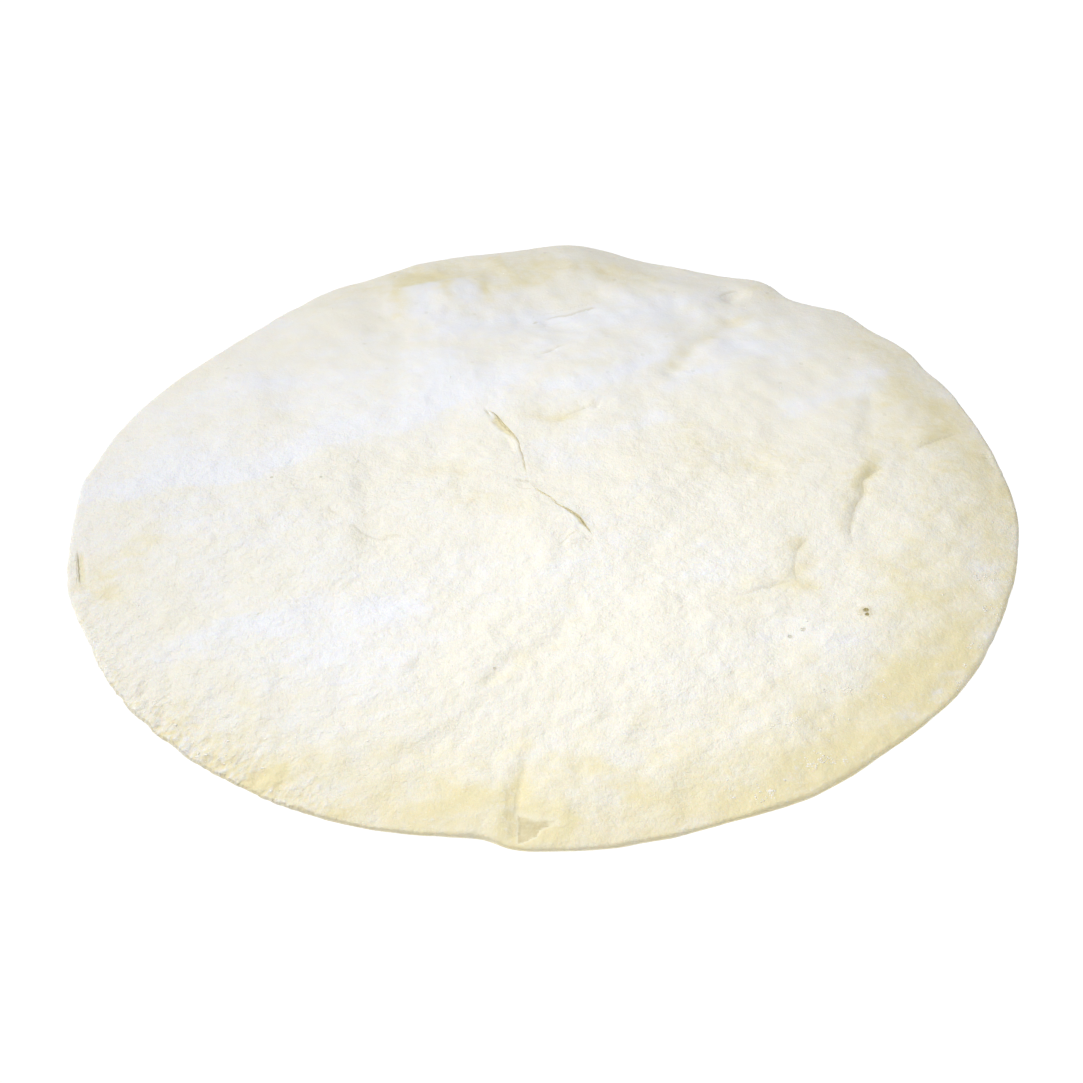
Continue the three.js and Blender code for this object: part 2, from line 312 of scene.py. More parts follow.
def hashed(i, j, seed):
    """A repeatable number from 0 to 1 for each lattice point, from the fraction of a large sine."""
    swirl = np.sin(i * 127.1 + j * 311.7 + seed * 74.7) * 43758.5453
    return swirl - np.floor(swirl)


def noise(x, y, size, seed):
    """Uneven field from -1 to 1: lattice values a size apart, blended by a quintic fade."""
    u, v = x / size, y / size
    i, j = np.floor(u), np.floor(v)
    u, v = u - i, v - j
    fade_u = u ** 3 * (u * (6 * u - 15) + 10)
    fade_v = v ** 3 * (v * (6 * v - 15) + 10)
    near = hashed(i, j, seed) * (1 - fade_u) + hashed(i + 1, j, seed) * fade_u
    far = hashed(i, j + 1, seed) * (1 - fade_u) + hashed(i + 1, j + 1, seed) * fade_u
    return 2 * (near * (1 - fade_v) + far * fade_v) - 1


def rough(x, y, size, seed, layers=3):
    """Layers of noise, each half the size and half the strength of the one before."""
    total = 0
    for layer in range(layers):
        total = total + noise(x, y, size / 2 ** layer, seed + layer) / 2 ** layer
    return total


def drawn_out(x, y, heading, across, along, seed, layers=2):
    """Rough noise with its lumps drawn out along a heading in degrees."""
    turn = math.radians(heading)
    u = (x * math.cos(turn) + y * math.sin(turn)) / along
    v = (y * math.cos(turn) - x * math.sin(turn)) / across
    return rough(u, v, 1, seed, layers)


def curve(path, pieces=6):
    """Smooth line through the points (Catmull-Rom), with so many straight pieces a span."""
    points = np.array(path, float)
    points = np.vstack((2 * points[0] - points[1], points, 2 * points[-1] - points[-2]))
    u = np.linspace(0, 1, pieces, endpoint=False)[:, None]
    spans = []
    for a, b, c, d in zip(points, points[1:], points[2:], points[3:]):
        spans.append(0.5 * (2 * b + (c - a) * u + (2 * a - 5 * b + 4 * c - d) * u ** 2
                            + (3 * b - a - 3 * c + d) * u ** 3))
    return np.vstack((*spans, points[-2][None]))


def nearest(path, x, y):
    """Nearest place on a curve: the distance along it, the distance to its left, and its whole length."""
    line = curve(path)
    steps = np.diff(line, axis=0)
    lengths = np.hypot(steps[:, 0], steps[:, 1])
    starts = np.concatenate(((0,), np.cumsum(lengths)))
    gap = np.full(np.shape(x), np.inf)
    along = np.zeros(np.shape(x))
    left = np.zeros(np.shape(x))
    for (px, py), (dx, dy), length, start in zip(line, steps, lengths, starts):
        share = np.clip(((x - px) * dx + (y - py) * dy) / length ** 2, 0, 1)
        ex, ey = x - px - share * dx, y - py - share * dy
        here = np.hypot(ex, ey)
        closer = here < gap
        gap = np.where(closer, here, gap)
        along = np.where(closer, start + share * length, along)
        left = np.where(closer, np.sign(dx * ey - dy * ex) * here, left)
    return along, left, starts[-1]


def end_fade(along, length, fades):
    """One along the middle of a curve, easing to nought over the given length at each end."""
    start = smooth(0, fades[0], along) if fades[0] else 1
    end = smooth(0, fades[1], length - along) if fades[1] else 1
    return start * end


def crease_height(crease, x, y):
    """A valley along the path, with a soft step across it that dies away over a few widths."""
    path, depth, width, step, fades = crease
    along, left, length = nearest(path, x, y)
    across = np.abs(left) / width
    side = 0.5 * step * np.tanh(left / width) * np.exp(-across / STEP_REACH)
    return end_fade(along, length, fades) * (side - depth * bell(across))


def step_height(step, x, y):
    """Rises from a crisp foot on the path to its right, rolls over and sinks away again slowly."""
    path, rise, width, fades = step
    along, left, length = nearest(path, x, y)
    right = np.maximum(-left, 0)
    roll = (1 - np.exp(-right / width)) * np.exp(-right / STEP_RUN)
    ends = smooth(0, fades[0] + right, along) * smooth(0, fades[1] + right, length - along)
    return ends * (rise * roll - FOOT_DEPTH * rise * bell(left / FOOT_WIDTH))


def outline(angle):
    """Radius of the outline at an angle in radians: the circle with its swells."""
    turn = np.degrees(angle)
    radius = np.full(np.shape(angle), RADIUS)
    for at, out, before, after in SWELLS.values():
        away = (turn - at + 180) % 360 - 180
        radius = radius + out * bell(away / np.where(away < 0, before, after))
    return radius


def flakiness(angle):
    """How flaky the rim is at an angle: all along the left front, a little elsewhere."""
    turn = np.degrees(angle) % 360
    return FLAKES_LEAST + (1 - FLAKES_LEAST) * smooth(*FLAKES_BEGIN, turn) * (1 - smooth(*FLAKES_END, turn))


def rim_radius(angle):
    """The outline with small unevenness, ragged where the rim is flaky."""
    radius = outline(angle)
    x, y = radius * np.cos(angle), radius * np.sin(angle)
    rags = RIM_RAGS * flakiness(angle) * rough(x, y, RIM_RAG_SIZE, 73, 2)
    return radius + RIM_WAVER * rough(x, y, RIM_WAVER_SIZE, 71) + rags


def inward(x, y):
    """How far a place lies inside the rim, measured along the radius."""
    return np.maximum(rim_radius(np.arctan2(y, x)) - np.hypot(x, y), 0)


def thickness(x, y):
    """Thickness away from the edge: thick middle, thin rim, stretch waves, lumps and creases."""
    out = np.minimum(np.hypot(x, y) / RADIUS, 1)
    rim = RIM_THICKNESS + RIM_TILT * y / RADIUS
    height = MIDDLE_THICKNESS - (MIDDLE_THICKNESS - rim) * out ** THINNING
    for length, heading, crest, phase in STRETCH_WAVES:
        turn = math.radians(heading)
        along = x * math.cos(turn) + y * math.sin(turn)
        height = height + crest * (1 - WAVE_FADE * out ** 2) * np.sin(2 * math.pi * along / length + phase)
    for lump_x, lump_y, lump_height, radius in LUMPS.values():
        height = height + lump_height * bell(np.hypot(x - lump_x, y - lump_y) / radius)
    for crease in CREASES.values():
        height = height + crease_height(crease, x, y)
    return np.maximum(height, LEAST_THICKNESS)


def pocket(x, y):
    """How deep a place lies in the pleat's ragged pocket: a smooth step in from each of its three sides."""
    ragged = POCKET_RAGS * rough(x, y, POCKET_RAG_SIZE, 83, 2)
    right = 0.5 * ragged - nearest(POCKET_LEFT_WALL, x, y)[1]
    behind = ragged + nearest(POCKET_NEAR_WALL, x, y)[1]
    before = 1.2 * ragged - nearest(POCKET_FAR_EDGE, x, y)[1]
    walls = smooth(*LEFT_WALL_SLOPE, right) * smooth(*NEAR_WALL_SLOPE, behind)
    return walls * smooth(*FAR_EDGE_SLOPE, before)


def crooked(x, y):
    """Places shifted a little by noise, so that drawn paths come out crooked."""
    return x + CROOKED * rough(x, y, CROOKED_SIZE, 51, 2), y + CROOKED * rough(x, y, CROOKED_SIZE, 57, 2)


def evenness(x, y):
    """How evenly the top is rubbed: one at the back, a third at the right, and below nought at the left."""
    right = 0.35 * smooth(40, 90, x)
    left = 0.45 * smooth(-15, -90, x) * smooth(40, -10, y)
    return np.minimum(smooth(-10, 90, y) + right, 1) - left


def flaking(x, y):
    """How much the dough flakes: as the rim beside it, dying away inwards."""
    return flakiness(np.arctan2(y, x)) * np.exp(-inward(x, y) / FLAKE_REACH)


def fine_relief(x, y):
    """Hand-worked unevenness: low swells, bumps, stretch marks, steps, cracks, and nubbles at the rim."""
    swelling = SWELL_HEIGHT + 0.35 * smooth(70, 115, y) - 0.2 * smooth(50, 110, x)
    height = swelling * rough(x, y, SWELL_SIZE, 3)
    height = height + (BUMP_HEIGHT - BUMP_LOST * evenness(x, y)) * rough(x, y, BUMP_SIZE, 11, 2)
    streaked = STREAK_HEIGHT * smooth(20, -90, y) * smooth(-110, -10, x)
    height = height + streaked * drawn_out(x, y, STREAK_HEADING, STREAK_ACROSS, STREAK_ALONG, 31)
    crooked_x, crooked_y = crooked(x, y)
    for step in STEPS.values():
        height = height + step_height(step, crooked_x, crooked_y)
    for crack in CRACKS.values():
        height = height + crease_height(crack, crooked_x, crooked_y)
    height = height - POCKET_DEPTH * pocket(crooked_x, crooked_y)
    flakes = FLAKE_HEIGHT * drawn_out(x, y, FLAKE_HEADING, FLAKE_ACROSS, FLAKE_ALONG, 23) + FLAKE_LIFT
    return height + flaking(x, y) * flakes


def beside_tear(tear, x, y):
    """Distance along a tear, the wavering distance towards its sloping side, and its whole length."""
    along, left, length = nearest(tear["path"], x, y)
    return along, tear["side"] * left + TEAR_WAVER * noise(along, 0 * along, WAVER_SIZE, 91), length


def edge_shade(x, y):
    """How dark the painted contact shadow along the edge is: one at the left front, half in front, and nought
    at the right.
    """
    begin = -55 * smooth(0, -100, x)
    return smooth(begin, begin - 50, y) * (1 - 0.5 * smooth(-70, 0, x) - 0.5 * smooth(50, 100, x))


def hair_line_shade(x, y):
    """Distance to the left of the nearest line, step's foot, tear, split or edge, and its painted shade."""
    crooked_x, crooked_y = crooked(x, y)
    lines = list(LINES.values())
    # Painted shade at the steps' feet.
    for path, _, _, fades in STEPS.values():
        lines.append((path, STEP_FOOT_SHADE, fades))
    found = []
    for path, darkness, fades in lines:
        along, here, length = nearest(path, crooked_x, crooked_y)
        found.append((here, darkness * end_fade(along, length, fades)))
    # Painted shade in the tears, under their lips.
    for tear in TEARS.values():
        along, near, length = beside_tear(tear, x, y)
        found.append((-tear["thin"] * near, tear["line"] * end_fade(along, length, tear["fades"])))
    # Painted shade in the rim's split.
    along, here, length = nearest(RIM_SPLIT, x, y)
    found.append((SPLIT_THIN * here, SPLIT_SHADE_LINE * end_fade(along, length, SPLIT_FADES)))
    # The painted contact shadow along the edge.
    found.append((EDGE_LINE_THIN * inward(x, y) - 0.1, EDGE_SHADOW_LINE * edge_shade(x, y)))
    left = np.full_like(x, LINE_REACH)
    dark = np.zeros_like(x)
    for here, darkness in found:
        closer = np.abs(here) < np.abs(left)
        left = np.where(closer, here, left)
        dark = np.where(closer, darkness, dark)
    return left, dark


def grooves(x, y):
    """How far a place lies down in the creases, cracks and steps' feet, as bells across them."""
    x, y = crooked(x, y)
    total = np.zeros_like(x)
    for path, depth, width, _, fades in (*CREASES.values(), *CRACKS.values()):
        along, left, length = nearest(path, x, y)
        total = total + min(depth, 1) * end_fade(along, length, fades) * bell(left / (1.3 * width))
    for path, _, width, fades in STEPS.values():
        along, left, length = nearest(path, x, y)
        total = total + end_fade(along, length, fades) * bell((left + 0.5 * width) / width)
    return total


def edge_rounding(x, y):
    """Share of the thickness left near the edge: a parabola that thins it, and a quarter of an ellipse."""
    away = inward(x, y)
    thinned = 1 - (1 - EDGE_THIN) * (1 - np.minimum(away / EDGE_TAPER, 1)) ** 2
    share = 1 - np.minimum(away / EDGE_ROUND, 1)
    return thinned * np.sqrt(1 - share ** 2)


def top_height(x, y):
    """Height of the top, rounded over towards the edge, before the tears open it."""
    full = np.maximum(thickness(x, y) + fine_relief(x, y), LEAST_THICKNESS)
    return EDGE_HEIGHT + (full - EDGE_HEIGHT) * edge_rounding(x, y)


def tear_profile(tear, x, y):
    """Height change, sideways lean, and rawness with painted shade in the cavity, across a tear.

    Towards the tear the dough slopes down as a smooth step. The strip beyond goes on under the lip as the
    cavity's floor, comes back as its wall, and ends at the lip, which stands up and leans over as
    exponentials of the distance. All of it swells along the path and wavers a little to both sides.
    """
    along, near, length = beside_tear(tear, x, y)
    share = along / length
    swell = np.where(share < tear["widest"], share / tear["widest"], (1 - share) / (1 - tear["widest"]))
    ends = end_fade(share, 1, TEAR_ENDS)
    swell = ends * (tear["least"] + (1 - tear["least"]) * smooth(0.5, 1, swell))
    strip = tear["strip"] * swell + 0.05
    across = -near / strip
    floor = smooth(*CAVITY_FLOOR, across)
    wall = smooth(*CAVITY_WALL, across)
    beyond = np.maximum(-near - strip, 0)
    down = near / (tear["slope"] * swell + 0.1)
    fall = np.where(near > 0, 1 - smooth(0, 1, down), 1 - wall)
    height = swell * (tear["lip"] * wall * np.exp(-beyond / LIP_REACH) - tear["depth"] * fall)
    hanging = tear["overhang"] * wall * np.exp(-beyond / LEAN_REACH)
    lean = swell * (hanging - tear["cavity"] * floor * (1 - wall))
    bared = 1 - smooth(*BARED_END, down)
    raw = tear["raw"] * smooth(0.1, 0.7, swell) * np.where(near > 0, bared, 0.5 * bell(beyond / 0.5))
    # Painted shade on the cavity's floor, under the lip.
    cavity_shade = floor * (1 - smooth(*CAVITY_SHADE_END, across))
    return height, tear["side"] * lean, raw + ends * cavity_shade


def open_tears(x, y, z):
    """Opens the tears in a top: gives the new places, and the rawness of the dough with painted shade in the
    cavities.
    """
    raw = np.zeros_like(x)
    moved_x, moved_y = x.copy(), y.copy()
    nudge = 0.02
    for tear in TEARS.values():
        height, lean, rawness = tear_profile(tear, x, y)
        left = nearest(tear["path"], x, y)[1]
        moved_x = moved_x + lean * (nearest(tear["path"], x + nudge, y)[1] - left) / nudge
        moved_y = moved_y + lean * (nearest(tear["path"], x, y + nudge)[1] - left) / nudge
        z = z + height
        raw = np.maximum(raw, rawness)
    along, left, length = nearest(RIM_SPLIT, x, y)
    split = end_fade(along, length, SPLIT_FADES) * bell((left - SPLIT_WIDTH) / SPLIT_WIDTH)
    z = np.maximum(z - SPLIT_DEPTH * split, SPLIT_LEAST_HEIGHT)
    return moved_x, moved_y, z, np.maximum(raw, SPLIT_RAW * split)


def spoke_angles():
    """Angles of the spokes round the outline, crowded as bells at the tears, flaky rim and pleat."""
    fine = np.linspace(-math.pi, math.pi, 20001)
    crowd = np.ones_like(fine)
    for tear in TEARS.values():
        end = curve(tear["path"])[TEAR_AIM]
        toward = math.atan2(end[1] - ELBOW[1], end[0] - ELBOW[0])
        crowd = crowd + TEAR_CROWD * bell((fine - toward) / TEAR_CROWD_SPREAD)
    for toward, spread, extra in SPOKE_CROWDS.values():
        crowd = crowd + extra * bell((fine - toward) / spread)
    share = np.concatenate(((0,), np.cumsum(0.5 * (crowd[1:] + crowd[:-1]))))
    return np.interp(np.arange(SPOKES) / SPOKES, share / share[-1], fine)


def ring_shares():
    """Reach of each ring from the elbow to the edge: closer together at the tears, and round the edge."""
    u = np.linspace(0, 1, 2001)
    spacing = 1 - TEAR_CLOSER * bell(u / TEAR_CLOSER_REACH) - OUTER_CLOSER * smooth(OUTER_BEGIN, 1, u)
    reach = np.concatenate(((0,), np.cumsum(0.5 * (spacing[1:] + spacing[:-1]))))
    edge = EDGE_BAND / RADIUS
    inner = np.interp(np.arange(1, RINGS + 1) / RINGS, reach / reach[-1], u) * (1 - edge)
    turn = 0.5 * math.pi * np.arange(1, EDGE_RINGS + 1) / EDGE_RINGS
    return np.concatenate((inner, 1 - edge + edge * np.sin(turn)))


def follow_tears(x, y):
    """Turns places round the elbow so that the spokes beside a tear bend along it."""
    dx, dy = x - ELBOW[0], y - ELBOW[1]
    reach = np.hypot(dx, dy)
    angle = np.arctan2(dy, dx)
    turn = np.zeros_like(angle)
    for tear in TEARS.values():
        line = curve(tear["path"]) - ELBOW
        at = np.hypot(line[:, 0], line[:, 1])
        heading = np.unwrap(np.arctan2(line[:, 1], line[:, 0]))
        straight = heading[TEAR_AIM]
        at = np.append(at, BEND_REACH * at[-1])
        bend = np.interp(reach, at, np.append(heading, straight)) - straight
        away = (angle - straight + math.pi) % (2 * math.pi) - math.pi
        turn = turn + bend * bell(away / BEND_SPREAD)
    return ELBOW[0] + reach * np.cos(angle + turn), ELBOW[1] + reach * np.sin(angle + turn)


# Flour rubbed on the top, and places where yellow dough shows or warm shade is painted: path, width to its
# left and to its right, and strength, which is below nought where flour is missing.
FLOUR_STROKES = {
    "upper left veil": (((-120, 30), (-75, 58), (-10, 80), (50, 90)), 34, 34, 0.38),
    "left veil": (((-115, -20), (-60, -45)), 40, 40, 0.28),
    "left band": (((-145, 2), (-122, 8), (-99, 12), (-81, 22), (-62, 32), (-39, 45)), 12, 4, 0.56),
    "far left": (((-116, 57), (-87, 64)), 6, 6, 0.4),
    "left back rim": (((-100, 94), (-92, 99)), 6, 6, 0.4),
    "back band": (((-37, 97), (-20, 99), (5, 102), (40, 105)), 7, 7, 0.55),
    "back band right": (((26, 113), (55, 113)), 6, 5, 0.3),
    "above tear": (((-35, 70), (-33, 55), (-16, 65)), 9, 9, 0.5),
    "streak to valley": (((1, 57), (22, 65), (41, 79)), 4, 4, 0.6),
    "right of tear": (((9, 32), (24, 36), (38, 41)), 4, 4, 0.45),
    "below shelf": (((-1, 25), (14, 14)), 5, 5, 0.35),
    "valley side": (((42, 58), (51, 69)), 4, 4, 0.5),
    "back right": (((65, 85), (83, 81)), 8, 8, 0.55),
    "right patch": (((85, 51), (103, 61), (114, 69)), 6, 6, 0.55),
    "front left streak": (((-117, -70), (-89, -61), (-66, -53), (-46, -53)), 4, 9, 0.5),
    "front left spread": (((-73, -73), (-48, -78)), 14, 14, 0.4),
    "front left, low": (((-98, -92), (-55, -104)), 14, 14, 0.2),
    "centre": (((-21, -36), (16, -32)), 16, 16, 0.25),
    "centre right": (((47, -39), (60, -32)), 7, 7, 0.35),
    "right front speckle": (((45, -78), (72, -67), (86, -69)), 8, 8, 0.3),
    "right rim": (((131, -20), (138, -47), (130, -69)), 5, 5, 0.22),
    "right front smear, far": (((122.5, -80), (119, -82)), 2, 2, 0.4),
    "right front smear, near": (((116, -88), (112, -91)), 2, 2, 0.4),
    "back left pillow": (((-46, 108), (-44, 119)), 5, 5, 0.6),
    "back pillow": (((-29, 115), (-28, 123)), 4.5, 4.5, 0.6),
    "front left hole": (((-84, -125), (-78, -121)), 3, 3, -0.6),
}
BARE_AND_SHADE_STROKES = {
    "front veil": (((-95, -122), (-40, -142), (20, -146), (80, -124)), 38, 20, 0.55),
    "front rim": (((-60, -137), (-14, -147), (40, -144), (90, -120)), 6, 6, 0.15),
    "right veil": (((128, 45), (136, 0), (124, -60)), 30, 30, 0.4),
    "back veil": (((-60, 128), (-20, 132), (30, 130)), 12, 16, 0.3),
    "right front, high": (((108, -38), (122, -52), (128, -58)), 14, 14, 0.3),
    "right front, upper": (((103, -84), (121, -74)), 10, 10, 0.68),
    "right front": (((78, -125), (95, -108), (113, -90)), 14, 14, 0.72),
    "right front, low": (((39, -138), (65, -131)), 7, 7, 0.3),
    "pleat pocket": (((-8, -143), (3, -141)), 4.5, 4.5, 0.8),
    # Painted warm shade along the pleat's fold and under the shelf.
    "pleat": (((-9, -141), (-8, -128), (-7, -114)), 2.8, 2.8, 0.3),
    "shelf": (((-7, 43), (1, 43), (12, 47)), 4, 2, 0.25),
    "front, left of pleat": (((-34, -136), (-13, -133)), 5, 5, 0.5),
    "front, right of pleat": (((15, -124), (28, -132)), 4, 4, 0.35),
    "front left hole": (((-84, -125), (-78, -121)), 3, 3, 1.3),
    "left": (((-137, -44), (-124, -22)), 9, 9, 0.6),
    "right rim": (((124, 62), (143, 20), (147, -25), (137, -58)), 8, 8, 0.35),
    "back rim": (((-53, 129), (-24, 135), (5, 138), (30, 134)), 7, 7, 0.3),
    "nick side": (((70, 121), (78, 120)), 4, 4, 0.4),
    "back valley": (((43, 73), (53, 88), (69, 102)), 4, 4, 0.45),
    "right back rim": (((110, 91), (122, 81)), 7, 7, 0.35),
    "left of tear": (((-40, 13), (-28, 14)), 6, 6, 0.4),
    "below tear": (((-29, -3), (-4, -6)), 7, 7, 0.3),
    # Yellow dough and painted warm shade in the gaps round the pillows.
    "round the left pillow": (
        ((-54, 104), (-53.7, 114), (-51, 123), (-44, 126.5), (-37, 122.5), (-35.4, 111)), 2.4, 2.4, 0.45),
    "round the back pillow": (
        ((-36, 123), (-33, 126.5), (-27.5, 128.5), (-22, 124.5), (-21.5, 114)), 2.4, 2.4, 0.45),
    "back left patch": (((-51, 129), (-42, 131)), 4, 4, 0.45),
    "back patch": (((-12, 124), (-5, 125)), 4, 4, 0.4),
    # Painted warm shade on the steps' slopes.
    "step, upper": (((108, 19), (101, 6)), 4, 4, 0.5),
    "step, middle": (((80, -23), (77, -42)), 4, 4, 0.3),
    "step, lower": (((57, -51), (78, -41)), 5, 5, 0.28),
    "front hook": (((-18, -87), (-8, -77), (7, -64)), 4, 4, 0.2),
    "mid right": (((47, 25), (73, 17)), 16, 16, 0.3),
}


def strokes(table, x, y):
    """Sum of soft strokes: each falls away as a bell from its path, with an edge wandering by noise."""
    wander_x = x + WANDER * rough(x, y, WANDER_SIZE, 41)
    wander_y = y + WANDER * rough(x, y, WANDER_SIZE, 47)
    total = np.zeros_like(x)
    for path, left_width, right_width, strength in table.values():
        left = nearest(path, wander_x, wander_y)[1]
        total = total + strength * bell(left / np.where(left > 0, left_width, right_width))
    return total


def add_piece(name, points, faces, values):
    """A smooth mesh object at the origin, from places in millimetres, with named point values."""
    mesh = bpy.data.meshes.new(name)
    mesh.from_pydata((points * MM).tolist(), [], faces)
    for key, value in values.items():
        attribute = mesh.attributes.new(key, "FLOAT", "POINT")
        attribute.data.foreach_set("value", np.asarray(value, np.float32))
    mesh.polygons.foreach_set("use_smooth", np.ones(len(mesh.polygons), bool))
    mesh.update()
    piece = bpy.data.objects.new(name, mesh)
    bpy.context.scene.collection.objects.link(piece)
    return piece


def ring_faces(rings, spokes):
    """Faces of a closed mesh: a first pole, rings of equal spokes and a last pole."""
    ring = 1 + spokes * np.arange(rings)[:, None] + np.arange(spokes)[None, :]
    after = np.roll(ring, -1, axis=1)
    quads = np.stack((ring[:-1], ring[1:], after[1:], after[:-1]), axis=-1).reshape(-1, 4)
    first = np.stack((np.zeros(spokes, int), ring[0], after[0]), axis=-1)
    last = np.stack((np.full(spokes, 1 + rings * spokes), after[-1], ring[-1]), axis=-1)
    return first.tolist() + quads.tolist() + last.tolist()


# Values of the underside, where they aren't nought. The tuck carries the edge's values.
UNDER_VALUES = {"flour": 0.35, "even": 0.5, "line_left": LINE_REACH}

# How much bare dough, partly painted warm shade, shows in grooves, and how far into the pocket its wet raw
# dough and painted shade are full.
GROOVE_BARE_AND_SHADE = 0.22
POCKET_WET_AND_SHADE_REACH = 0.65


def make_dough(shift):
    """The round as rings about the elbow: the top out to the edge, the tuck under it, and the underside."""
    angles = spoke_angles()
    reach = rim_radius(angles)
    rim_x, rim_y = reach * np.cos(angles), reach * np.sin(angles)
    shares = np.concatenate(((0.0,), ring_shares()))[:, None]
    x, y = follow_tears(ELBOW[0] + shares * (rim_x - ELBOW[0]), ELBOW[1] + shares * (rim_y - ELBOW[1]))
    line_left, line_shade = hair_line_shade(x, y)
    values = {
        "flour": strokes(FLOUR_STROKES, x, y),
        # Bare dough, with painted warm shade in the grooves.
        "bare_and_shade": strokes(BARE_AND_SHADE_STROKES, x, y) + GROOVE_BARE_AND_SHADE * grooves(x, y),
        "even": evenness(x, y),
        "flaky": flaking(x, y),
        "line_left": line_left,
        "line_shade": line_shade,
    }
    # Wet raw dough in the pleat's pocket, partly painted shade.
    wet_and_shade = POCKET_RAW_AND_SHADE * smooth(0.0, POCKET_WET_AND_SHADE_REACH, pocket(*crooked(x, y)))
    x, y, z, raw = open_tears(x, y, top_height(x, y))
    values["raw"] = np.maximum(raw, wet_and_shade)

    turn = 0.5 * math.pi * np.arange(1, TUCK_RINGS + 1)[:, None] / TUCK_RINGS
    radius = reach - EDGE_TUCK * (1 - np.cos(turn))
    tuck_x, tuck_y = radius * np.cos(angles), radius * np.sin(angles)
    tuck_z = EDGE_HEIGHT * (1 - np.sin(turn)) * np.ones_like(radius)
    under = 1 - np.arange(1, UNDER_RINGS + 1)[:, None] / (UNDER_RINGS + 1)
    under_x, under_y = under * tuck_x[-1], under * tuck_y[-1]
    under_z = UNDER_HEIGHT * np.maximum(1 + rough(under_x, under_y, UNDER_SIZE, 61), 0)
    under_z = under_z * smooth(0, UNDER_FLAT, inward(under_x, under_y))

    rows_x = np.concatenate((x[1:], tuck_x, under_x))
    rows_y = np.concatenate((y[1:], tuck_y, under_y))
    rows_z = np.concatenate((z[1:], tuck_z, under_z))
    points = np.stack((rows_x, rows_y, rows_z), axis=-1).reshape(-1, 3)
    middle = (x[0, 0], y[0, 0], z[0, 0])
    points = np.vstack((middle, points, (0, 0, 0))) + np.append(shift, 0)
    for name, value in values.items():
        under_value = UNDER_VALUES.get(name, 0.0)
        tuck_rows = np.broadcast_to(value[-1], (TUCK_RINGS, SPOKES))
        under_rows = np.full((UNDER_RINGS, SPOKES), under_value)
        rows = np.concatenate((value[1:], tuck_rows, under_rows))
        values[name] = np.concatenate((value[0, :1], rows.ravel(), (under_value,)))
    return add_piece("dough", points, ring_faces(len(rows_x), SPOKES), values)


# Crumbs along the flaky rim: how many, the smallest and largest, the middle and spread of their angles in
# degrees, and how far in they start and reach.
CRUMB_SEED = 11
RIM_CRUMBS = 90
RIM_CRUMB_SIZES = (0.2, 0.5)
RIM_CRUMB_ANGLES = (222, 13)
RIM_CRUMB_START = 0.4
RIM_CRUMB_REACH = 6.0

# Loose crumbs all over: how many, the smallest and largest, and how far out they lie. No crumb lies nearer
# to the rim than LEAST_INWARD, and each sinks in by a share of its size.
LOOSE_CRUMBS = 220
LOOSE_CRUMB_SIZES = (0.15, 0.35)
LOOSE_CRUMB_REACH = 147
LEAST_INWARD = 0.5
CRUMB_SINK = 0.1

# A crumb of size one: its half length, half width and half height, how uneven these are, the middle and
# spread of its heading in degrees, and the points, radius and height of its two rings.
CRUMB_SHAPE = np.array((1.3, 0.9, 0.28))
CRUMB_UNEVEN = (0.7, 1.3)
CRUMB_HEADINGS = (48, 35)
CRUMB_RING = 5
CRUMB_POINTS = 2 * CRUMB_RING + 2
CRUMB_RING_RADIUS = 0.894
CRUMB_RING_HEIGHT = 0.447

# Patches of clumped crumbs: middle, reach and clumps. A clump is so many crumbs, in so much spread.
CLUMP = 7
CLUMP_SPREAD = 0.55
CLUMP_CRUMB_SIZES = (0.14, 0.34)
CRUMB_PATCHES = {
    "right rim, far": (137, -38, 4.0, 12),
    "right rim": (138, -52, 3.5, 16),
    "right rim, near": (131, -69, 3.5, 12),
    "right front rim, far": (133, -76, 3.5, 14),
    "right front rim": (122, -88, 3.0, 9),
    "right front, inner": (77, -117, 3.5, 14),
    "right front, low": (62, -130, 4.0, 12),
    "bare edge, upper": (84, -88, 6.0, 12),
    "bare edge, lower": (72, -103, 4.0, 12),
}


def crumb_places(random):
    """Places and sizes of the crumbs: thick along the flaky rim, in patches, and thin all over."""
    turn = np.radians(random.normal(*RIM_CRUMB_ANGLES, RIM_CRUMBS))
    radius = rim_radius(turn) - RIM_CRUMB_START - random.exponential(RIM_CRUMB_REACH, RIM_CRUMBS)
    x, y = [radius * np.cos(turn)], [radius * np.sin(turn)]
    size = [random.uniform(*RIM_CRUMB_SIZES, RIM_CRUMBS)]
    for patch_x, patch_y, reach, clumps in CRUMB_PATCHES.values():
        clump_x = random.normal(patch_x, reach, (clumps, 1))
        clump_y = random.normal(patch_y, 0.7 * reach, (clumps, 1))
        x.append(random.normal(clump_x, CLUMP_SPREAD, (clumps, CLUMP)).ravel())
        y.append(random.normal(clump_y, CLUMP_SPREAD, (clumps, CLUMP)).ravel())
        size.append(random.uniform(*CLUMP_CRUMB_SIZES, clumps * CLUMP))
    turn = random.uniform(-math.pi, math.pi, LOOSE_CRUMBS)
    radius = LOOSE_CRUMB_REACH * np.sqrt(random.uniform(0, 1, LOOSE_CRUMBS))
    x.append(radius * np.cos(turn))
    y.append(radius * np.sin(turn))
    size.append(random.uniform(*LOOSE_CRUMB_SIZES, LOOSE_CRUMBS))
    x, y, size = np.concatenate(x), np.concatenate(y), np.concatenate(size)
    inside = inward(x, y) > LEAST_INWARD
    return x[inside], y[inside], size[inside]


